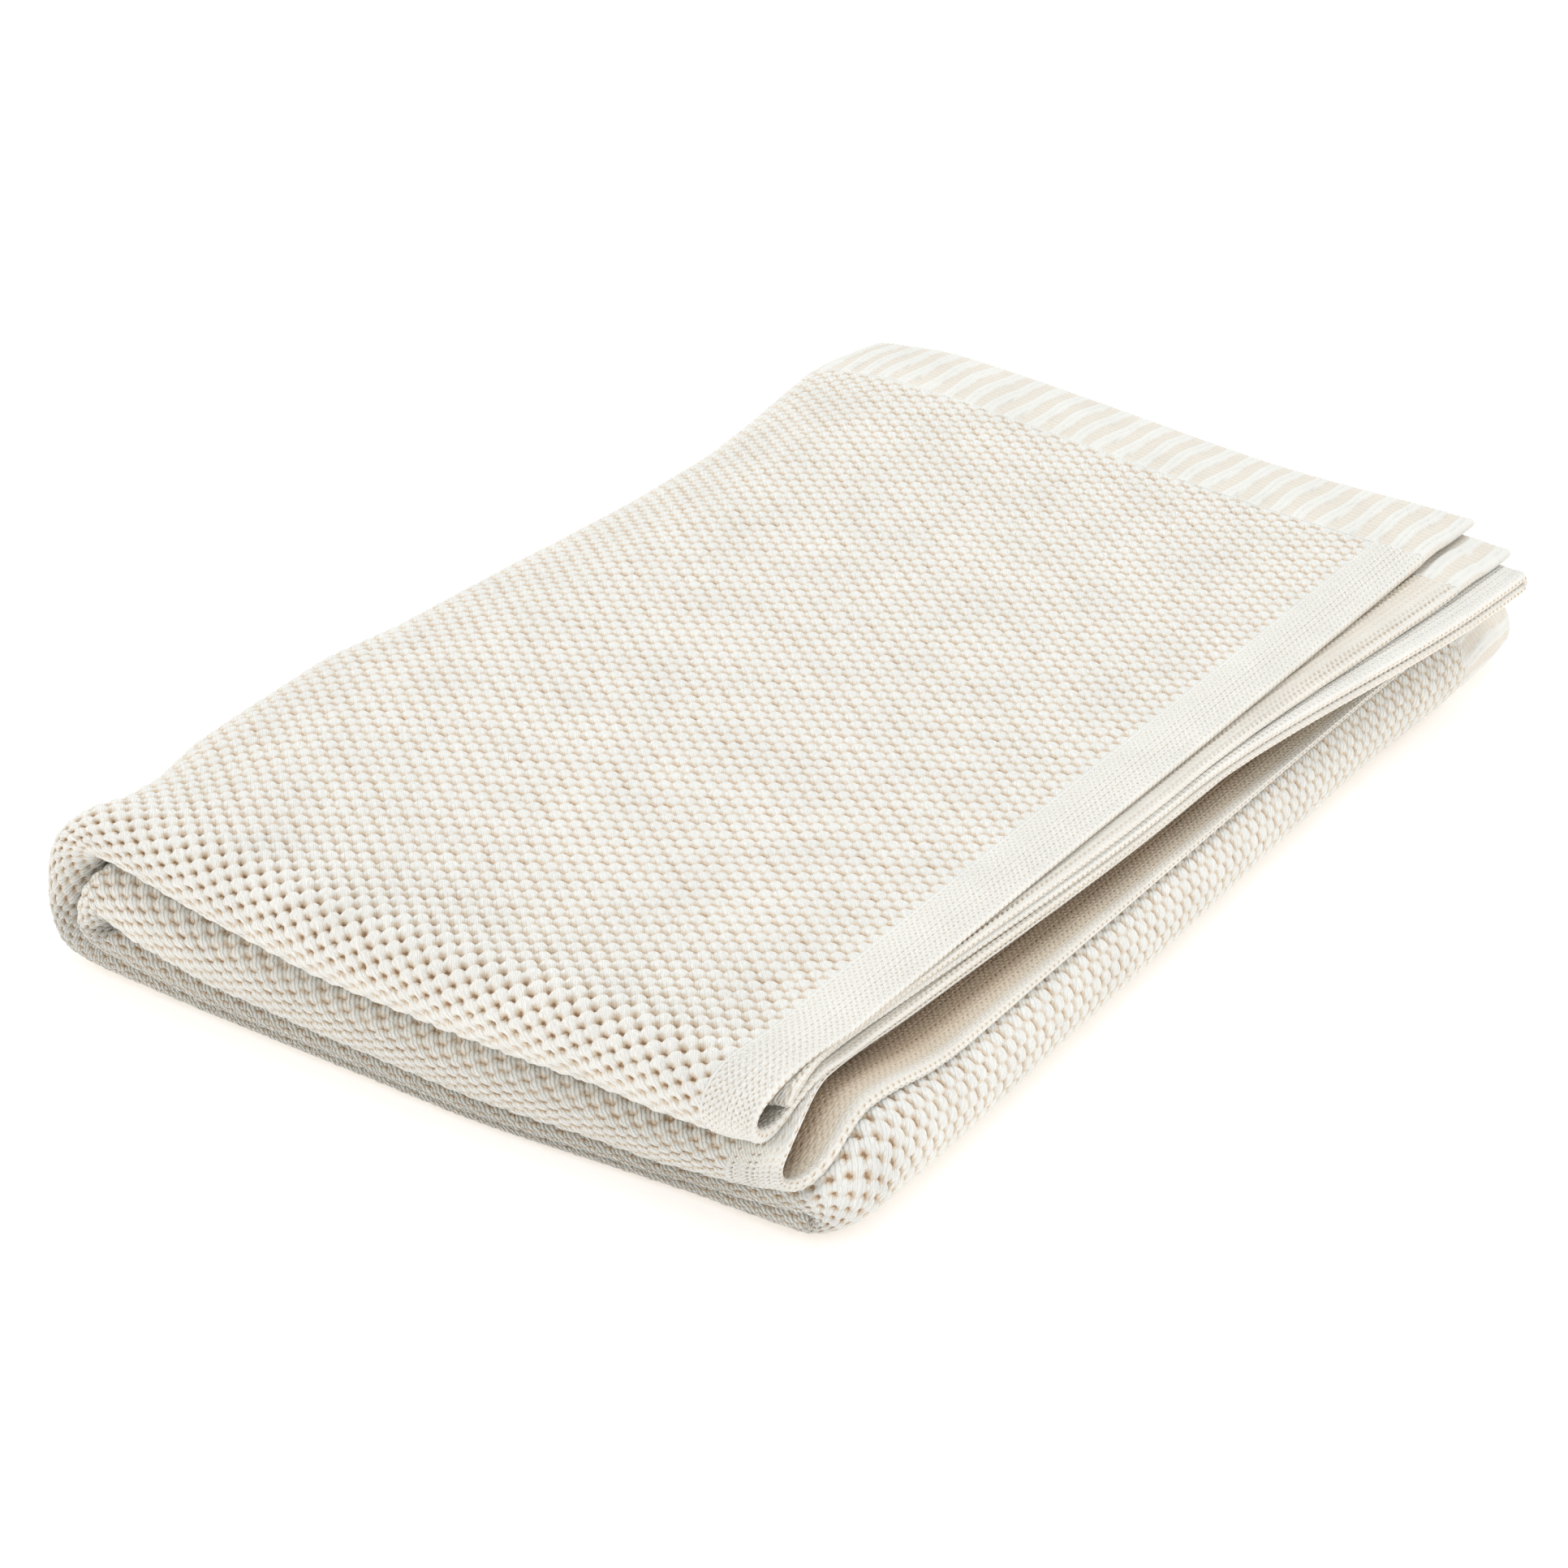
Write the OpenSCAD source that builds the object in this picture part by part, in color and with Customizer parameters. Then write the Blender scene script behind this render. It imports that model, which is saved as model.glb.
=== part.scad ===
// Folded knitted throw blanket.
// The cloth is folded in four along its length and then in four across its width.
// X runs from the folded long side to the open long side, Y from the folded short side to the hems, Z up.

/* [Folded size] */
// Size of the folded blanket across the open side, X
plan_width = 320; // [280:1:380]
// Size of the folded blanket along the selvedges, Y
plan_length = 462; // [360:1:560]
// Height taken up by one layer of cloth in the pile
layer_pitch = 3.75; // [3:0.05:5]
// Air left between neighbouring layers
layer_gap = 0.4; // [0.3:0.05:0.8]

/* [Edges] */
// Depth of the ribbed hems along Y
hem_depth = 42; // [25:1:70]
// Width of the plain knitted bands on the selvedges
band_width = 21; // [12:1:40]
// How far the hidden layer's hem stops short of the top layer's
inner_hem_inset = 5; // [0:1:30]
// How far the hidden far fold stops short of the top layer's hem
far_fold_inset = 8; // [0:1:30]
// How far the hidden inner fold sits back from the near end
inner_fold_recess = 9; // [0:1:30]
// Distance from the roll of the open side to the top flap's selvedge
flap_edge_inset = 16; // [4:1:50]
// Distance from the roll of the open side to the second package's longest selvedge
base_edge_inset = 3; // [1:1:40]
// How much shorter the other layers of the second package are
base_edge_step = 12; // [0:1:40]

/* [Hidden] */
$fn = 48;
pitch = layer_pitch;
gap = layer_gap;
thick = pitch - gap;
package = 4 * pitch;
back_axis_z = 2 * package - gap / 2;
front_axis_z = package - gap / 2;
back_axis_x = -plan_width / 2 + 2 * package - gap / 2;
front_axis_x = plan_width / 2 - package + gap / 2;
near_y = -plan_length / 2 + 2 * pitch - gap / 2;
inner_near_y = near_y + inner_fold_recess;
far_y = plan_length / 2 - far_fold_inset - pitch + gap / 2;
outer_hem_y = plan_length / 2;
inner_hem_y = plan_length / 2 - inner_hem_inset;
flap_edge_x = plan_width / 2 - flap_edge_inset;
base_edge_x = plan_width / 2 - base_edge_inset;
short_edge_x = base_edge_x - base_edge_step;
joint_gap = 0.5;
body_colour = [0.94, 0.91, 0.85];
band_colour = [0.96, 0.94, 0.90];
hem_colour = [0.90, 0.86, 0.79];

// One flat run of cloth in the package's section, seen as [along Y, height in the package].
module run(layer, from_y, to_y) {
    translate([from_y, layer * pitch + gap / 2])
        square([to_y - from_y, thick]);
}

// A half turn of cloth round the end of a run. It closes toward -Y when side is -1.
module turn(height, inner_r, centre_y, side) {
    translate([centre_y, height])
        intersection() {
            difference() {
                circle(r = inner_r + thick);
                circle(r = inner_r);
            }
            translate([side < 0 ? -3 * pitch : 0, -3 * pitch])
                square([3 * pitch, 6 * pitch]);
        }
}

// The knitted body's section: one sheet wound through four layers.
module body_section() {
    run(3, near_y, outer_hem_y - hem_depth);
    turn(2 * pitch, pitch + gap / 2, near_y, -1);
    run(0, near_y, far_y);
    turn(pitch, gap / 2, far_y, 1);
    run(1, inner_near_y, far_y);
    turn(2 * pitch, gap / 2, inner_near_y, -1);
    run(2, inner_near_y, inner_hem_y - hem_depth);
}

// The part of that section that reaches the longest selvedge of the second package.
module long_section() {
    run(3, near_y, outer_hem_y - hem_depth);
}

module outer_hem_section() {
    run(3, outer_hem_y - hem_depth, outer_hem_y);
}

module inner_hem_section() {
    run(2, inner_hem_y - hem_depth, inner_hem_y);
}

// Children drawn as a package section, run straight along X.
module straight(from_x, to_x) {
    translate([from_x, 0, 0])
        rotate([90, 0, 90])
            linear_extrude(height = to_x - from_x)
                children();
}

// The same, with the package turned over so that its outer face looks down.
module straight_over(from_x, to_x) {
    mirror([0, 0, 1])
        straight(from_x, to_x)
            children();
}

// Children drawn as a section of [radius, along Y], bent half round an axis along Y.
module bent(axis_x, side) {
    translate([axis_x, 0, side < 0 ? back_axis_z : front_axis_z])
        rotate([-90, 0, 0])
            rotate([0, 0, side < 0 ? 90 : -90])
                rotate_extrude(angle = 180)
                    children();
}

// A package section stood on edge with its inner face at the given radius, facing out.
module facing_out(radius) {
    translate([radius, 0])
        rotate([0, 0, 90])
            mirror([0, 1])
                children();
}

// The same, with its outer face toward the axis.
module facing_in(radius) {
    translate([radius, 0])
        rotate([0, 0, 90])
            children();
}

// The three lower packages of one strip of the cloth, with both folds between them.
module lower_packages(end_x) {
    translate([0, 0, package - gap / 2])
        straight_over(back_axis_x, front_axis_x)
            children();
    bent(front_axis_x, 1)
        facing_out(0)
            children();
    translate([0, 0, package - gap / 2])
        straight(back_axis_x, front_axis_x)
            children();
    bent(back_axis_x, -1)
        facing_in(package)
            children();
    translate([0, 0, 3 * package - gap / 2])
        straight_over(back_axis_x, end_x)
            children();
}

module body_base() {
    color(body_colour) {
        lower_packages(short_edge_x - band_width)
            body_section();
        translate([0, 0, 3 * package - gap / 2])
            straight_over(short_edge_x - band_width, base_edge_x - band_width)
                long_section();
    }
}

module body_fold() {
    color(body_colour)
        bent(back_axis_x, -1)
            facing_out(package)
                body_section();
}

module body_flap() {
    color(body_colour)
        translate([0, 0, 3 * package - gap / 2])
            straight(back_axis_x + joint_gap, flap_edge_x - band_width)
                body_section();
}

module side_band_base() {
    color(band_colour)
        translate([0, 0, 3 * package - gap / 2]) {
            straight_over(short_edge_x - band_width, short_edge_x)
                difference() {
                    body_section();
                    long_section();
                }
            straight_over(base_edge_x - band_width, base_edge_x)
                long_section();
        }
}

module side_band_flap() {
    color(band_colour)
        translate([0, 0, 3 * package - gap / 2])
            straight(flap_edge_x - band_width, flap_edge_x)
                body_section();
}

module outer_hem_base() {
    color(hem_colour)
        lower_packages(base_edge_x)
            outer_hem_section();
}

module outer_hem_fold() {
    color(hem_colour)
        bent(back_axis_x, -1)
            facing_out(package)
                outer_hem_section();
}

module outer_hem_flap() {
    color(hem_colour)
        translate([0, 0, 3 * package - gap / 2])
            straight(back_axis_x + joint_gap, flap_edge_x)
                outer_hem_section();
}

module inner_hem_base() {
    color(hem_colour)
        lower_packages(short_edge_x)
            inner_hem_section();
}

module inner_hem_fold() {
    color(hem_colour)
        bent(back_axis_x, -1)
            facing_out(package)
                inner_hem_section();
}

module inner_hem_flap() {
    color(hem_colour)
        translate([0, 0, 3 * package - gap / 2])
            straight(back_axis_x + joint_gap, flap_edge_x)
                inner_hem_section();
}

body_base();
body_fold();
body_flap();
side_band_base();
side_band_flap();
outer_hem_base();
outer_hem_fold();
outer_hem_flap();
inner_hem_base();
inner_hem_fold();
inner_hem_flap();
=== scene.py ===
"""Folded knitted throw blanket: the visual model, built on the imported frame.

The cloth is one sheet. A point on it is (s, v, w) in millimetres: s runs across the
cloth from the top flap's selvedge, v runs along it from the hem on top, and w is the
distance from the middle of its thickness, positive toward its right side.
"""

import math

import bpy
import numpy as np
from mathutils import Matrix, Vector


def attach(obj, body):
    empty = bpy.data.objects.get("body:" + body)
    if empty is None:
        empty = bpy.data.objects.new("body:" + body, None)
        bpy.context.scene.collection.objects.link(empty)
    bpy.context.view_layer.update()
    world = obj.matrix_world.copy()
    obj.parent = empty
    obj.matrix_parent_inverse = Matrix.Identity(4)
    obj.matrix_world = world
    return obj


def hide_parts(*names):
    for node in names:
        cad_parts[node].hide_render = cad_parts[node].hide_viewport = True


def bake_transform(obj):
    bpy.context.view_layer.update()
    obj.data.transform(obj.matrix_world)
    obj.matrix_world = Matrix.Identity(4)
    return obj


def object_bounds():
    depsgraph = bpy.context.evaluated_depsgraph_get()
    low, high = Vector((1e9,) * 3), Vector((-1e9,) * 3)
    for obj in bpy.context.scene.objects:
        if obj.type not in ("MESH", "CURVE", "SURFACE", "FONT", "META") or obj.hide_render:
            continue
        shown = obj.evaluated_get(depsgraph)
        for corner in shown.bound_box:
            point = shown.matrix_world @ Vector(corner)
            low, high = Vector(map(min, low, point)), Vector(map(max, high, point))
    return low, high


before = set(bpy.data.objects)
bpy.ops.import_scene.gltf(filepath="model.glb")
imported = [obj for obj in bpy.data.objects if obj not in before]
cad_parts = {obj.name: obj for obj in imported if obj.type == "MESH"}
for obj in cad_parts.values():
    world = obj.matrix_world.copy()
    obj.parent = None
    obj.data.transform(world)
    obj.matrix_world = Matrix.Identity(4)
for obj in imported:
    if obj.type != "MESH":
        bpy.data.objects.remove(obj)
cad_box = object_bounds()
LOW, HIGH = [[1000 * c for c in corner] for corner in cad_box]

# ---------------------------------------------------------------- the fold, in mm
GAP = 0.4
P = (HIGH[2] - LOW[2] + GAP) / 16
T = P - GAP
HEM, BAND = 42.0, 21.0
INNER_HEM_INSET, FAR_FOLD_INSET, INNER_FOLD_RECESS = 5, 8, 9
FLAP_EDGE_INSET, BASE_EDGE_INSET = 16, 3
# axes of the back fold and of the front fold
XB, ZB = LOW[0] + 8 * P - GAP / 2, 8 * P - GAP / 2
XF, ZF = HIGH[0] - 4 * P + GAP / 2, 4 * P - GAP / 2
# the near roll is drawn out to this reach, and stops at the near end
ROLL = 16.0
Y_TIP = LOW[1]
YN = Y_TIP + ROLL + T / 2
# centre of the inner fold, ends of the two hems, centre of the far fold
YI = Y_TIP + 2 * P - GAP / 2 + INNER_FOLD_RECESS
Y_OUT = HIGH[1]
Y_IN = HIGH[1] - INNER_HEM_INSET
YF = HIGH[1] - FAR_FOLD_INSET - P + GAP / 2
# selvedges of the top flap and of the second package
X_TOP, X_LOW = HIGH[0] - FLAP_EDGE_INSET, HIGH[0] - BASE_EDGE_INSET
# length of cloth in the near roll
NEAR_ARC = 46.0


def running(lengths):
    """Where each run ends, measured from the start."""
    return list(np.cumsum(lengths))


# Runs along the cloth: top layer, near roll, bottom layer, far fold, lower middle
# layer, inner fold, upper middle layer.
V = running([Y_OUT - YN, NEAR_ARC, YF - YN, math.pi * P / 2, YF - YI, math.pi * P / 2, Y_IN - YI])
# Runs across it: top package, back fold, bottom package, front fold, second package
# up, nested fold, third package up.
S = running([X_TOP - XB, math.pi * 7.5 * P, XF - XB, math.pi * 3.5 * P, XF - XB,
             math.pi * 3.5 * P, X_LOW - XB])
LENGTH, WIDTH = V[6], S[6]


def ease(t):
    t = np.clip(t, 0, 1)
    return t * t * (3 - 2 * t)


def glide(x, knots):
    """Smooth steps through knots of (x, value)."""
    xs, ys = (np.array(k, float) for k in zip(*knots))
    i = np.clip(np.searchsorted(xs, x) - 1, 0, len(xs) - 2)
    return ys[i] + (ys[i + 1] - ys[i]) * ease((x - xs[i]) / (xs[i + 1] - xs[i]))


def along(v, w):
    """Y and the height inside a package, for a place along the cloth."""
    t_near = (v - V[0]) / (V[1] - V[0]) * math.pi
    t_far = (v - V[2]) / (V[3] - V[2]) * math.pi
    t_inner = (v - V[4]) / (V[5] - V[4]) * math.pi
    where = [v < V[k] for k in range(6)]
    y = np.select(where, [
        Y_OUT - v,
        YN - (ROLL + w) * np.sin(t_near),
        YN + v - V[1],
        YF + (P / 2 + w) * np.sin(t_far),
        YF - (v - V[3]),
        YI - (P / 2 - w) * np.sin(t_inner)], YI + v - V[5])
    n = np.select(where, [
        3.5 * P + w,
        2 * P + (1.5 * P + w) * np.cos(t_near),
        0.5 * P - w,
        P - (P / 2 + w) * np.cos(t_far),
        1.5 * P + w,
        2 * P - (P / 2 - w) * np.cos(t_inner)], 2.5 * P - w)
    return y, n


# How far each layer's selvedge stands beyond the top layer's (flap) or beyond the
# lowest one's (second package), along the cloth.
MID_C, MID_D, MID_U = (V[1] + V[2]) / 2, (V[3] + V[4]) / 2, (V[5] + V[6]) / 2
TOP_EDGE = [(0, -3), (V[0] - 30, -6), (V[0] + 23, -13), (V[1] + 25, -5), (MID_C, 2),
            (V[2], 24), (V[3], 24), (MID_D, 2), (V[4], -9), (V[5], -8), (MID_U, 1), (V[6], 15)]
LOW_EDGE = [(0, -5), (V[0] - 45, -6), (V[0], -9), (V[0] + 23, -17), (V[1] + 10, -20),
            (MID_C, -13), (V[2] - 40, -12), (V[3] + 40, -36), (V[6], -36)]


def across(s, n, v):
    """X and Z, for a place across the cloth at a height inside its package."""
    run_top = X_TOP - XB + glide(v, TOP_EDGE)
    run_low = X_LOW - XB + glide(v, LOW_EDGE)
    t_back = (s - S[0]) / (S[1] - S[0]) * math.pi
    t_front = (s - S[2]) / (S[3] - S[2]) * math.pi
    t_nest = (s - S[4]) / (S[5] - S[4]) * math.pi
    where = [s < S[k] for k in range(6)]
    base = -GAP / 2
    x = np.select(where, [
        XB + (1 - s / S[0]) * run_top,
        XB - (4 * P + n) * np.sin(t_back),
        XB + s - S[1],
        XF + n * np.sin(t_front),
        XF - (s - S[3]),
        XB - (4 * P - n) * np.sin(t_nest)], XB + (s - S[5]) / (S[6] - S[5]) * run_low)
    z = np.select(where, [
        12 * P + n + base,
        ZB + (4 * P + n) * np.cos(t_back),
        4 * P - n + base,
        ZF - n * np.cos(t_front),
        4 * P + n + base,
        ZB - (4 * P - n) * np.cos(t_nest)], 12 * P - n + base)
    return x, z


# Heights of the package boundaries at the near end, for places across the blanket:
# the rolls there are uneven, with the lower two pressed flat.
NEAR_X = [-160, -118, -85, -40, 30, 90, 120, 132, 150]
NEAR_Z = [[0, 8, 20, 41, 60.5], [0, 4.5, 11, 36, 60], [0, 3, 6.5, 29, 58.5],
          [0, 3, 6, 22, 57], [0, 2.2, 4.5, 21, 55], [0, 2.5, 5, 19.5, 53.5],
          [0, 4, 9, 22.5, 50.5], [0, 5, 11, 26, 49.5], [0, 7.5, 15.5, 34, 48]]
# How far the back fold's shoulder falls short of a true half round, along the blanket.
SHOULDER = [(-231, -2), (-205, 5.5), (-186, 6.5), (-163, 3.5), (-98, 2.5), (-64, 5.5), (0, 7),
            (67, 10), (119, 11), (154, 9), (191, 5.5), (231, 6)]
# How far the front fold stands out or falls back, along the blanket.
BELLY = [(-231, 0), (-207, 3), (-188, 3.6), (-155, 2.6), (-105, 1), (-53, 0), (0, -1.3),
         (60, -3.2), (122, -4.2), (170, -2.2), (231, -3.4)]

# Corners in plan: side in X, where it starts and its reach, the same in Y, and how far
# it turns in.
CORNERS = [(1, 143, 18, -1, -209, 22, 0.34), (-1, -144, 16, -1, -222, 16, 0.3),
           (1, 143, 18, 1, 205, 16, 0.2), (-1, -138, 22, 1, 215, 16, 0.3)]


def pile_top(x, y):
    """Height of the pile away from the near end's rolls."""
    a, b = (x + 145) / 290, (y + 231) / 462
    return (1 - b) * (59.5 - 7 * a) + b * (60.5 + 1.5 * a) \
        + 0.7 * np.sin(x / 47 + 0.6) * np.sin(y / 61 + 1.1)


PILE = 60.0         # height of the pile
PACKAGE = 15.0      # height of one package
FAR_SQUASH = 0.95   # the lower packages are pressed a little all along


def drape(x, y, z):
    """The unevenness of the real pile, on top of the exact fold."""
    level = np.clip(z / PILE, 0, 1.1)
    near = 1 - ease((y - Y_TIP) / (85 - 53 * ease((x - 100) / 35)))
    k = np.clip((z / PACKAGE).astype(int), 0, 3)
    low = [np.interp(x, NEAR_X, [row[i] for row in NEAR_Z]) for i in range(5)]
    bottom = np.choose(k, low[:4])
    top = np.choose(k, low[1:])
    z_near = bottom + (top - bottom) * (z - PACKAGE * k) / PACKAGE
    seat = 3 * PACKAGE * FAR_SQUASH
    z_far = np.where(z < 3 * PACKAGE, FAR_SQUASH * z,
                     seat + (z - 3 * PACKAGE) * (pile_top(x, y) - seat) / PACKAGE)
    z = z_far + (z_near - z_far) * near
    # the second package's long selvedge rides up beside the near corner
    z = z + np.exp(-((y + 193) / 26) ** 2) * ease((x - 110) / 38) * np.interp(
        level, [0, 0.5, 0.55, 0.72, 0.8, 1], [0, 5.5, 6, 2, 1.5, 0])
    # the hems droop over the end of the pile
    q = np.clip((y - 189) / 42, 0, 1.1)
    z = z - (4.5 - 2.5 * ease((x - 40) / 100)) * q * q * level
    # the open side sags a little
    r = np.clip((x - 105) / 40, 0, 1.6)
    z = z - 1.2 * r * r * level
    # both folded sides are uneven
    slack = np.interp(y, *zip(*SHOULDER)) * ease((-92 - x) / 58) * ease(level / 0.9)
    belly = np.interp(y, *zip(*BELLY)) * ease((x - 112) / 40) * ease((0.62 - level) / 0.2)
    z = z - 0.75 * slack
    x = x + 0.65 * slack + belly
    # neither end is square: the pile is longer beside the back fold
    far = np.clip((y - Y_TIP) / (Y_OUT - Y_TIP), 0, 1.05)
    top_half = ease((level - 0.5) / 0.3)
    far_shift = 7 - (12 + 11 * top_half) * ease((x + 130) / 270)
    near_shift = (7 * ease((120 - x) / 110)
                  + 4.5 * ease((x - 60) / 60) * ease((level - 0.4) / 0.3))
    y = y + far * far_shift - (1 - far) ** 3 * near_shift
    # corners are round in plan
    for sx, x0, rx, sy, y0, ry, turn_in in CORNERS:
        a = np.clip((x - x0) * sx / rx, 0, 1.2)
        b = np.clip((y - y0) * sy / ry, 0, 1.2)
        x = x - sx * rx * a * (1 - np.sqrt(1 - turn_in * np.minimum(b, 1) ** 2))
        y = y - sy * ry * b * (1 - np.sqrt(1 - turn_in * np.minimum(a, 1) ** 2))
    x = x + 1.6 * np.sin(y / 52 + 0.4) * level * ease(-x / 120)
    return x, y, z


def place(s, v, w):
    y, n = along(v, w)
    # the second package's near roll is blunter than the others
    reach = ROLL + w
    inward = np.clip(1 - (YN - y) / reach, 0, 1)
    blunt = reach * (1 - inward ** (1 + 0.5 * ease((s - S[5]) / 20)))
    y = np.where(y < YN, YN - blunt, y)
    x, z = across(s, n, v)
    return np.stack(drape(x, y, z), axis=-1)


# ---------------------------------------------------------------- the stitches, in mm
MOSS_START, MOSS_END = HEM, LENGTH - HEM
LOW_START = S[6] - BAND
LAP = 1.3    # how far the body reaches under a band or hem
SEAM = 0.5   # depth of every stitch where two kinds of knit meet


def scatter(a, b):
    """A repeatable number from 0 to 1 for each pair."""
    r = np.sin(a * 12.9898 + b * 78.233) * 43758.5453
    return r - np.floor(r)


def bent(v):
    """How much the cloth is bent over the near roll there, 0 to 1."""
    return np.exp(-((v - (V[0] + V[1]) / 2) / 25) ** 2)


def moss(s, v):
    """Moss stitch: staggered arches of thick yarn, drawn open where the cloth is bent.
    Returns the depth below their tops and a painted shade that grows the further a place lies
    down between them."""
    wale, course = 4.45, 6.08
    lap = sum(ease(gap) for gap in (BAND - s, s - LOW_START, MOSS_START - v, v - MOSS_END))
    along_v, v = v, v + 0.03 * s
    stretch = bent(v)
    reach, width = 3.05 + 0.95 * stretch, 2.8 - 0.35 * stretch
    best = np.full_like(s, 0.1)
    near = np.rint(s / wale)
    for step in (-1, 0, 1):
        c = near + step
        du = s - c * wale
        arch = (0.14 + 0.22 * stretch) * np.abs(du) ** 1.45 - 0.04 * du
        vv = v - course / 2 * np.mod(c, 2) - arch
        r = np.rint(vv / course)
        chance = scatter(c, r)
        dv = vv - r * course - 0.5 * (scatter(r, c) - 0.5)
        du = du - 0.4 * (chance - 0.5)
        plump = np.maximum(0, 1 - (du / reach) ** 2 - 0.25 * (du / reach) ** 4) ** 0.45
        plump = plump * np.maximum(0, 1 - (dv / width) ** 2) ** 0.4
        best = np.maximum(best, plump * (0.92 + 0.08 * chance))
    # painted shade down between the arches, a little stronger where the cloth is bent open
    pit = np.clip(1 - best / 0.8, 0, 1) ** 1.05 * (0.9 + 0.1 * stretch)
    seam = np.minimum.reduce([s - BAND, LOW_START - s,
                              along_v - MOSS_START, MOSS_END - along_v])
    depth = SEAM + ((1 - best) * (1.5 + 0.5 * stretch) - SEAM) * ease(seam / 2.2)
    return depth + 1.3 * np.minimum(lap, 1), pit * ease(seam / 1.5)


def plain(s, v):
    """Plain knit on the selvedge bands: columns of V stitches."""
    wale, course = 2.45, 2.75
    best = np.zeros_like(s)
    c = np.floor(s / wale)
    du = s - (c + 0.5) * wale
    for side in (-1, 1):
        for shift in (0, 1):
            dv = np.mod(v + 0.15 * np.sin(7 * c) + shift * course, 2 * course) - course
            u = du * side - 0.62 - 0.21 * dv
            best = np.maximum(best, np.sqrt(np.maximum(0, 1 - (u / 0.72) ** 2 - (dv / 2.0) ** 2)))
    seam = ease((BAND - np.minimum(s, np.abs(s - WIDTH))) / 1.6)
    # painted shade between the V stitches
    pit = np.clip(1 - best / 0.85, 0, 1) ** 1.6
    return SEAM + (1.25 * (1 - best) - SEAM) * seam, pit * seam


def ribs(s, d):
    """Ribbed hem: pairs of cords with a sunk strip between, d from the hem's end."""
    period = 10.3
    s = s + 0.9 * np.sin(d / 7 + 1.3 * np.floor(s / period)) * ease(d / 20)
    a = np.mod(s, period)
    cords = np.zeros_like(s)
    for centre, half in ((1.5, 1.45), (4.2, 1.45)):
        cords = np.maximum(cords, np.sqrt(np.maximum(0, 1 - ((a - centre) / half) ** 2)))
    rungs = 0.5 + 0.5 * np.sin(2 * math.pi * (d / 2.75 + 0.35 * np.abs(np.mod(a / 1.6, 1) - 0.5)))
    strip = 0.16 + 0.12 * rungs
    h = np.maximum(cords, strip)
    edge = ease(1 - d / 3.2)
    chain = 0.45 + 0.4 * np.abs(np.sin(math.pi * s / 2.6))
    h = h + (chain - h) * edge
    # painted shade: light on the cords, darker in the sunk strip between them and between the
    # loops of the end chain
    painted_shade = np.where(cords > strip, 0.25 * (1 - cords), 0.30 + 0.28 * (1 - rungs))
    seam = ease((HEM - d) / 2)
    pit = np.clip(painted_shade * (1 - edge) + 0.25 * edge * (1 - h), 0, 1)
    return SEAM + (1.05 * (1 - h) - SEAM) * seam, pit * seam


def flat_cloth(s, v):
    """Hidden layers: no relief, a little below the bead tops, with a slight even painted shade.
    """
    return np.full_like(s, 0.5), np.full_like(s, 0.12)


# ---------------------------------------------------------------- meshes
def steps(*marks):
    """Positions from mark to mark: (start, end, step) triples joined end to end."""
    out = []
    for a, b, step in marks:
        count = max(1, int(math.ceil((b - a) / step - 1e-6)))
        out.append(np.linspace(a, b, count + 1))
    return np.unique(np.round(np.concatenate(out), 5))


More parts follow.
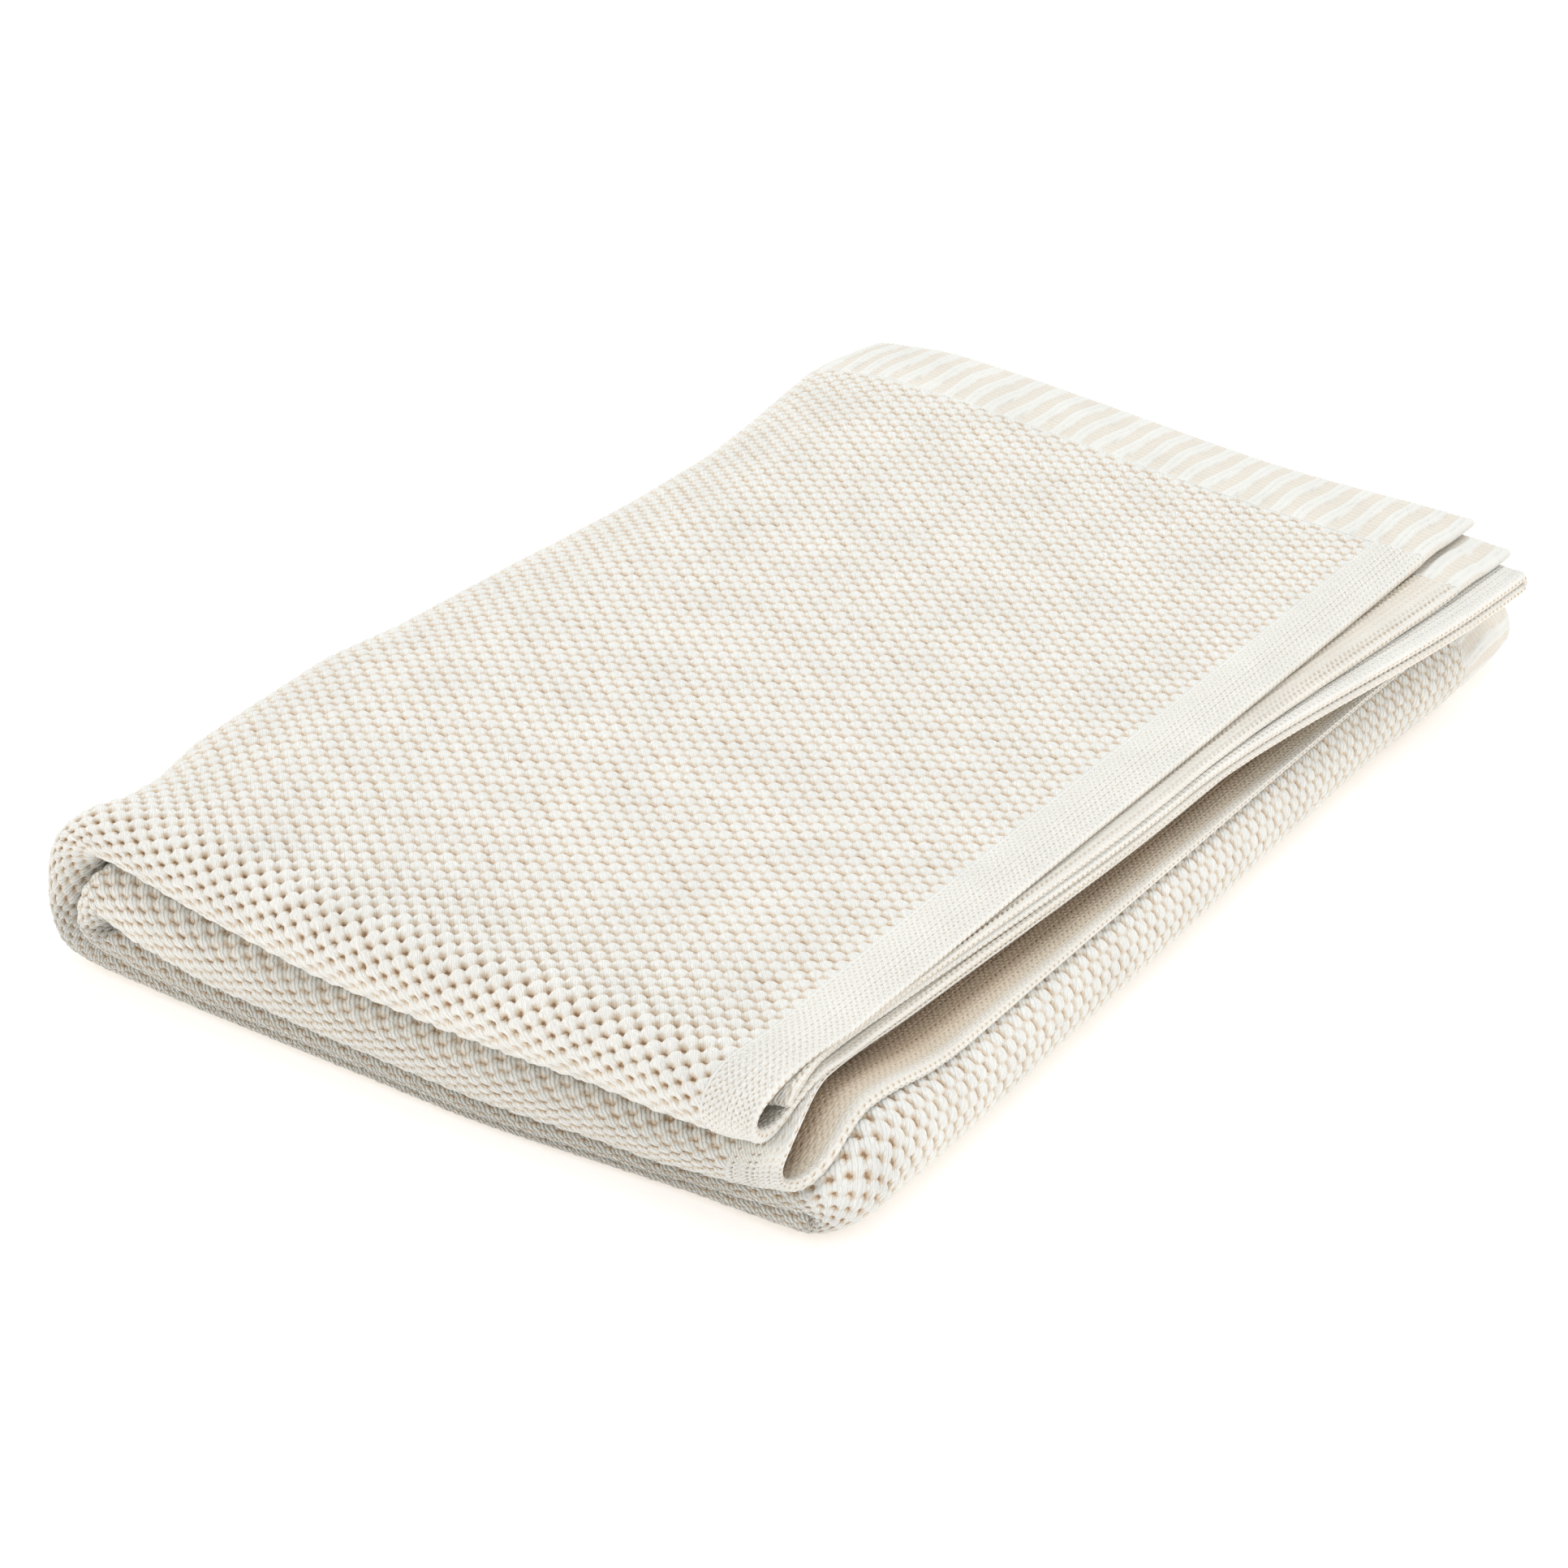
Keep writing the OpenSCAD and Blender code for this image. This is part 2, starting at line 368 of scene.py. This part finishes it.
class Cloth:
    """Vertices, faces, normals and attributes of one piece as it is put together."""

    def __init__(self):
        self.points, self.normals, self.pits, self.maps = [], [], [], []
        self.edges = []
        self.quads, self.caps, self.count = [], [], 0

    def grid(self, s, v, side, stitch, rim=None, painted_shade=None):
        """One face of the cloth over the given s and v. Returns its vertex numbers."""
        s2 = np.concatenate([[2 * s[0] - s[1]], s, [2 * s[-1] - s[-2]]])
        v2 = np.concatenate([[2 * v[0] - v[1]], v, [2 * v[-1] - v[-2]]])
        gs, gv = np.meshgrid(s2, v2, indexing="ij")
        depth, pit = stitch(gs, gv)
        half = T / 2 - depth
        thin = np.ones_like(gs) if rim is None else rim(gs, gv)
        half = half * thin
        # extra painted shade laid over a face, wherever it is deeper than the stitches' own
        if painted_shade:
            pit = np.maximum(pit, painted_shade(gs, gv))
        p = place(gs, gv, side * half)
        ds = p[2:, 1:-1] - p[:-2, 1:-1]
        dv = p[1:-1, 2:] - p[1:-1, :-2]
        n = side * np.cross(ds, dv)
        n /= np.maximum(np.linalg.norm(n, axis=-1, keepdims=True), 1e-9)
        shape = (len(s), len(v))
        ids = np.arange(shape[0] * shape[1]).reshape(shape) + self.count
        self.count += ids.size
        self.points.append(p[1:-1, 1:-1].reshape(-1, 3))
        self.normals.append(n.reshape(-1, 3))
        self.pits.append(pit[1:-1, 1:-1].ravel())
        self.edges.append(thin[1:-1, 1:-1].ravel() != 1)
        self.maps.append(np.stack([gs[1:-1, 1:-1].ravel(), gv[1:-1, 1:-1].ravel()], -1))
        a, b, c, d = ids[:-1, :-1], ids[1:, :-1], ids[1:, 1:], ids[:-1, 1:]
        order = (a, b, c, d) if side > 0 else (a, d, c, b)
        self.quads.append(np.stack([q.ravel() for q in order], -1))
        return ids

    def strip(self, a, b):
        """Quads between two rows of vertices, a leading."""
        self.quads.append(np.stack([a[:-1], a[1:], b[1:], b[:-1]], -1))

    def close(self, front, back):
        """Joins a front and a back grid all round."""
        self.strip(front[0], back[0])
        self.strip(front[-1][::-1], back[-1][::-1])
        self.caps.append(list(front[::-1, 0]) + list(back[:, 0]))
        self.caps.append(list(front[:, -1]) + list(back[::-1, -1]))

    def build(self, name, material):
        points = np.concatenate(self.points) / 1000
        normals = np.concatenate(self.normals)
        quads = np.concatenate(self.quads)
        mesh = bpy.data.meshes.new(name)
        loops = np.concatenate([quads.ravel()] + [np.array(c) for c in self.caps])
        sizes = np.concatenate([np.full(len(quads), 4), [len(c) for c in self.caps]]).astype(int)
        mesh.vertices.add(len(points))
        mesh.vertices.foreach_set("co", points.astype(np.float32).ravel())
        mesh.loops.add(len(loops))
        mesh.loops.foreach_set("vertex_index", loops.astype(np.int32))
        mesh.polygons.add(len(sizes))
        mesh.polygons.foreach_set("loop_start",
                                  np.concatenate([[0], np.cumsum(sizes)[:-1]]).astype(np.int32))
        mesh.update(calc_edges=True)
        mesh.polygons.foreach_set("use_smooth", np.ones(len(sizes), bool))
        # painted shade between the stitches, one value a vertex, which the materials turn into
        # darker brown
        pit = mesh.attributes.new("pit", "FLOAT", "POINT")
        pit.data.foreach_set("value", np.concatenate(self.pits).astype(np.float32))
        layer = mesh.uv_layers.new(name="cloth")
        uv = (np.concatenate(self.maps) / 1000)[loops]
        layer.data.foreach_set("uv", uv.astype(np.float32).ravel())
        mesh.validate(clean_customdata=False)
        mesh.update()
        # free edges take the mesh's own normals, which turn round the rim
        own = np.empty(len(points) * 3, np.float32)
        mesh.vertices.foreach_get("normal", own)
        at_rim = np.concatenate(self.edges)
        normals[at_rim] = own.reshape(-1, 3)[at_rim]
        mesh.normals_split_custom_set_from_vertices(normals.tolist())
        mesh.materials.append(material)
        obj = bpy.data.objects.new(name, mesh)
        bpy.context.scene.collection.objects.link(obj)
        return obj


# ---------------------------------------------------------------- materials
def knit(name, light, middle, dark, yarn_scale, yarn_depth):
    """Cotton yarn: colour from painted shade that deepens down between the stitches, fine twisted
    fibres, sheen.
    """
    mat = bpy.data.materials.new(name)
    mat.use_nodes = True
    nodes, links = mat.node_tree.nodes, mat.node_tree.links
    bsdf = nodes["Principled BSDF"]
    # this attribute is painted shade: the ramp darkens and browns the yarn where it is high
    pit = nodes.new("ShaderNodeAttribute")
    pit.attribute_name = "pit"
    coords = nodes.new("ShaderNodeTexCoord")
    patches = nodes.new("ShaderNodeTexNoise")
    patches.inputs["Scale"].default_value = 38
    patches.inputs["Detail"].default_value = 3
    slubs = nodes.new("ShaderNodeTexNoise")
    slubs.inputs["Scale"].default_value = 420
    slubs.inputs["Detail"].default_value = 4
    plies = nodes.new("ShaderNodeTexWave")
    plies.bands_direction = "DIAGONAL"
    plies.inputs["Scale"].default_value = yarn_scale
    plies.inputs["Distortion"].default_value = 2.5
    plies.inputs["Detail"].default_value = 2
    plies.inputs["Detail Scale"].default_value = 2
    for texture in (patches, slubs, plies):
        links.new(coords.outputs["UV"], texture.inputs["Vector"])
    ramp = nodes.new("ShaderNodeValToRGB")
    ramp.color_ramp.interpolation = "EASE"
    ramp.color_ramp.elements[0].color = (*light, 1)
    ramp.color_ramp.elements[1].color = (*dark, 1)
    ramp.color_ramp.elements.new(0.4).color = (*middle, 1)
    links.new(pit.outputs["Fac"], ramp.inputs["Fac"])
    tone = nodes.new("ShaderNodeMix")
    tone.data_type = "RGBA"
    tone.blend_type = "MULTIPLY"
    tone.inputs["Factor"].default_value = 1
    shade = nodes.new("ShaderNodeMapRange")
    shade.inputs["From Min"].default_value = 0.3
    shade.inputs["From Max"].default_value = 0.7
    shade.inputs["To Min"].default_value = 0.955
    shade.inputs["To Max"].default_value = 1.02
    links.new(patches.outputs["Fac"], shade.inputs["Value"])
    links.new(ramp.outputs["Color"], tone.inputs["A"])
    links.new(shade.outputs["Result"], tone.inputs["B"])
    links.new(tone.outputs["Result"], bsdf.inputs["Base Color"])
    both = nodes.new("ShaderNodeMath")
    both.operation = "ADD"
    links.new(plies.outputs["Fac"], both.inputs[0])
    links.new(slubs.outputs["Fac"], both.inputs[1])
    bump = nodes.new("ShaderNodeBump")
    bump.inputs["Strength"].default_value = 0.8
    bump.inputs["Distance"].default_value = yarn_depth
    links.new(both.outputs["Value"], bump.inputs["Height"])
    links.new(bump.outputs["Normal"], bsdf.inputs["Normal"])
    rough = nodes.new("ShaderNodeMapRange")
    rough.inputs["To Min"].default_value = 0.86
    rough.inputs["To Max"].default_value = 0.98
    links.new(slubs.outputs["Fac"], rough.inputs["Value"])
    links.new(rough.outputs["Result"], bsdf.inputs["Roughness"])
    bsdf.inputs["Specular IOR Level"].default_value = 0.18
    bsdf.inputs["Sheen Weight"].default_value = 0.15
    bsdf.inputs["Sheen Roughness"].default_value = 0.45
    bsdf.inputs["Sheen Tint"].default_value = (1.0, 0.97, 0.92, 1)
    return mat


# per material: the yarn's own colour, then the painted shade colours for half-deep and deep
# places between stitches
MOSS = knit("moss_knit", (0.888, 0.89, 0.853), (0.79, 0.69, 0.56), (0.42, 0.24, 0.12),
            330, 0.0005)
PLAIN = knit("plain_knit", (0.888, 0.885, 0.845), (0.79, 0.69, 0.555), (0.47, 0.31, 0.18),
             520, 0.00025)
RIB = knit("rib_knit", (0.83, 0.83, 0.795), (0.79, 0.745, 0.67), (0.50, 0.41, 0.29),
           520, 0.00015)

# ---------------------------------------------------------------- the pieces
# spacing of vertices where stitches show close up, where they show from afar, and where
# the cloth is hidden; and round a fold, on a hidden face and on one with stitches
FINE, CLEAR, ROUGH = 0.72, 1.3, 5.0
HIDDEN_TURN, FINE_TURN = 2.2, 0.79
NEAR_ZONE = (V[0] - 10, V[1] + 14)
FAR_ZONE = (V[2] - 10, V[3] + 10)
INNER_ZONE = (V[4] - 5, V[5] + 5)


def back_rows():
    """Rows along the cloth for its hidden faces, closer together round each fold."""
    return steps((MOSS_START, V[0] - 5, ROUGH), (V[0] - 5, V[1] + 5, 2.5),
                 (V[1] + 5, V[2] - 3, ROUGH), (V[2] - 3, V[3] + 3, 0.9),
                 (V[3] + 3, V[4] - 3, ROUGH), (V[4] - 3, V[5] + 3, 0.9),
                 (V[5] + 3, MOSS_END, ROUGH))


# how much of the lowest layer's wrong side can be seen inside the open side
SHOWN = 60


def body(spans, backs, inside=None):
    """A piece of the moss-knit body. spans are runs across the cloth with the vertex
    spacing of the top layer, the near roll and the bottom layer, or None where that is
    hidden. backs are the same for the wrong side, and inside is the part of it that
    shows."""
    cloth = Cloth()
    for start, end, top, roll, bottom in spans:
        rows = [(MOSS_START - LAP, NEAR_ZONE[0], top), (*NEAR_ZONE, roll),
                (NEAR_ZONE[1], FAR_ZONE[0], bottom), (*FAR_ZONE, 0.85 if roll else None),
                (FAR_ZONE[1], INNER_ZONE[0], None), (*INNER_ZONE, None),
                (INNER_ZONE[1], MOSS_END + LAP, None)]
        turning = any(start >= a - 1e-6 and end <= b + 1e-6
                      for a, b in ((S[0], S[1]), (S[2], S[3]), (S[4], S[5])))
        for a, b, step in rows:
            curved = (a, b) in (FAR_ZONE, INNER_ZONE, NEAR_ZONE)
            if step:
                along_step = min(step, FINE_TURN) if curved else step
                cloth.grid(steps((start, end, step)), steps((a, b, along_step)), 1, moss)
            else:
                cloth.grid(steps((start, end, HIDDEN_TURN if turning else ROUGH)),
                           steps((a, b, 0.9 if curved else ROUGH)), 1, flat_cloth)
    for start, end, step in backs:
        cloth.grid(steps((start, end, step)), back_rows(), -1, flat_cloth)
    if inside:
        columns = steps((*inside, 0.95))
        # painted shade on the lowest layer's wrong side where it shows inside the open side,
        # darker further in
        cloth.grid(columns, steps((MOSS_START - LAP, V[1], 0.95)), -1, moss,
                   painted_shade=lambda s, v: 0.55 + 0.3 * ease((inside[1] - s) / 32))
        cloth.grid(steps((*inside, ROUGH)), back_rows()[back_rows() >= V[1]], -1, flat_cloth)
    return cloth


FREE = 1.7   # width over which a free edge is rounded


def rounded(distance):
    """Thickness of a free edge: thin at its rim, a little swollen, then 1 inside."""
    d = np.clip(distance / FREE, 0, 1)
    roll = 1 + 0.22 * ease(distance / 1.2) * ease((5 - distance) / 3)
    return np.maximum(0.16, np.sqrt(1 - (1 - d) ** 2)) * roll


def rim_rows(start, end, step, first=False, last=False):
    """Positions with extra ones where a free edge is rounded."""
    marks = []
    a, b = start, end
    if first:
        marks += [(start, start + 0.3, 0.1), (start + 0.3, start + FREE, 0.35)]
        a = start + FREE
    if last:
        b = end - FREE
    marks += [(a, b, step)]
    if last:
        marks += [(end - FREE, end - 0.3, 0.35), (end - 0.3, end, 0.1)]
    return steps(*marks)


def band(start, end, free_at, fronts, backs, shadow, rows):
    """A selvedge band, closed all round, its free edge rounded."""
    cloth = Cloth()

    def rim(s, v):
        return rounded(np.abs(s - free_at))

    first, last = free_at == start, free_at == end
    f = cloth.grid(rim_rows(start, end, fronts, first, last), rows, 1, plain, rim)
    # painted shade on the band's back, deepening away from its free edge
    b = cloth.grid(rim_rows(start, end, backs, first, last), rows, -1, plain, rim,
                   lambda s, v: 0.1 + shadow * ease(np.abs(s - free_at) / 13))
    cloth.close(f, b)
    return cloth


def hem(start, end, outer, free_start, free_end, step):
    """A ribbed hem, closed all round, with its end and any free side rounded."""
    cloth = Cloth()
    v0, v1 = (0, HEM) if outer else (LENGTH - HEM, LENGTH)
    tip = v0 if outer else v1

    def rim(s, v):
        r = rounded(np.abs(v - tip))
        if free_start:
            r = np.minimum(r, rounded(np.abs(s - start)))
        if free_end:
            r = np.minimum(r, rounded(np.abs(s - end)))
        return r

    def stitch(s, v):
        return ribs(s, np.abs(v - tip))

    columns = rim_rows(start, end, step, free_start, free_end)
    rows = rim_rows(v0, v1, 0.75, outer, not outer)
    f = cloth.grid(columns, rows, 1, stitch, rim)
    b = cloth.grid(columns, rows, -1, stitch, rim)
    cloth.close(f, b)
    return cloth


band_rows = steps((MOSS_START, V[1] + 8, 0.55), (V[1] + 8, MOSS_END, 0.92))


def finish_piece(name, cloth, material):
    """Builds a piece, hides the part of the same name, and parents a flap or base piece to its
    body.
    """
    obj = cloth.build(name + "_cloth", material)
    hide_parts(name)
    if name.endswith("_base"):
        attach(obj, "base")
    elif name.endswith("_flap"):
        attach(obj, "flap")
    else:
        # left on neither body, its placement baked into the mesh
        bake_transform(obj)


finish_piece("body_flap", body([(BAND - LAP, S[0], FINE, FINE, CLEAR)],
                               [(BAND, S[0], ROUGH)]),
             MOSS)
finish_piece("body_fold", body([(S[0], S[1], FINE, FINE, CLEAR)], [(S[0], S[1], HIDDEN_TURN)]),
             MOSS)
finish_piece("body_base", body([
    (S[1], S[2], 1.6, FINE, None), (S[2], S[3], FINE, FINE, None),
    (S[3], S[4], None, FINE, None), (S[4], S[5], None, FINE, None),
    (S[5], LOW_START + LAP, None, FINE, CLEAR)],
    [(S[1], S[2], ROUGH), (S[2], S[3], HIDDEN_TURN), (S[3], S[4], ROUGH),
     (S[4], S[5], HIDDEN_TURN), (S[5], LOW_START - SHOWN, ROUGH)],
    (LOW_START - SHOWN, LOW_START + LAP)),
    MOSS)

finish_piece("side_band_flap", band(0, BAND, 0, 0.35, 0.8, 0.1, band_rows),
             PLAIN)
finish_piece("side_band_base", band(LOW_START, S[6], S[6], 0.8, 0.45, 0.6, band_rows),
             PLAIN)

for kind, outer in (("outer_hem", True), ("inner_hem", False)):
    for part, a, b, step in (("flap", 0, S[0], 0.5), ("fold", S[0], S[1], 0.6),
                             ("base", S[1], S[6], 0.75)):
        finish_piece(f"{kind}_{part}", hem(a, b, outer, part == "flap", part == "base",
                                           step if outer else 0.9),
                     RIB)

# ---------------------------------------------------------------- stage, light, camera
scene = bpy.context.scene
floor_mesh = bpy.data.meshes.new("floor")
reach = 40.0
floor_mesh.from_pydata([(-reach, -reach, 0), (reach, -reach, 0), (reach, reach, 0),
                        (-reach, reach, 0)], [], [(0, 1, 2, 3)])
floor = bpy.data.objects.new("floor", floor_mesh)
floor.location.z = -0.0012
scene.collection.objects.link(floor)
paper = bpy.data.materials.new("paper")
paper.use_nodes = True
paper_bsdf = paper.node_tree.nodes["Principled BSDF"]
paper_bsdf.inputs["Base Color"].default_value = (0.93, 0.93, 0.935, 1)
paper_bsdf.inputs["Roughness"].default_value = 0.9
paper_bsdf.inputs["Specular IOR Level"].default_value = 0.1
paper_bsdf.inputs["Emission Color"].default_value = (1, 0.94, 0.87, 1)
paper_bsdf.inputs["Emission Strength"].default_value = 0.30
floor_mesh.materials.append(paper)

world = bpy.data.worlds.new("studio")
world.use_nodes = True
world.node_tree.nodes["Background"].inputs["Color"].default_value = (0.98, 0.99, 1.0, 1)
world.node_tree.nodes["Background"].inputs["Strength"].default_value = 0.89
scene.world = world


def softbox(name, place_at, aim_at, size, power, colour=(1, 1, 1)):
    lamp = bpy.data.lights.new(name, "AREA")
    lamp.color = colour
    lamp.shape = "DISK"
    lamp.size = size
    lamp.energy = power
    obj = bpy.data.objects.new(name, lamp)
    obj.location = place_at
    obj.rotation_euler = (Vector(place_at) - Vector(aim_at)).to_track_quat("Z", "Y").to_euler()
    scene.collection.objects.link(obj)


softbox("key", (0.1, 0.55, 1.9), (0, 0, 0), 1.2, 11)
softbox("left", (-1.5, -1.5, 0.7), (0, 0, 0.02), 1.2, 7.5, (1, 0.82, 0.62))
softbox("right", (1.8, -0.2, 0.6), (0, 0, 0.02), 1.2, 2.6, (1, 0.80, 0.60))

AZIMUTH, ELEVATION = math.radians(34.5), math.radians(29.8)
away = Vector((math.sin(AZIMUTH) * math.cos(ELEVATION), -math.cos(AZIMUTH) * math.cos(ELEVATION),
               math.sin(ELEVATION)))
right = Vector((math.cos(AZIMUTH), math.sin(AZIMUTH), 0))
up = away.cross(right)
aim = -0.0163 * right + 0.0017 * up
camera_data = bpy.data.cameras.new("camera")
camera_data.sensor_width = 36
camera_data.sensor_fit = "HORIZONTAL"
camera_data.lens = 99.0
CAMERA_DISTANCE = 1.531
camera_data.clip_start, camera_data.clip_end = 0.05, 200
camera = bpy.data.objects.new("camera", camera_data)
turn = Matrix((right, up, away)).transposed()
camera.matrix_world = Matrix.Translation(aim + CAMERA_DISTANCE * away) @ turn.to_4x4()
scene.collection.objects.link(camera)
scene.camera = camera
scene.view_settings.view_transform = "Standard"
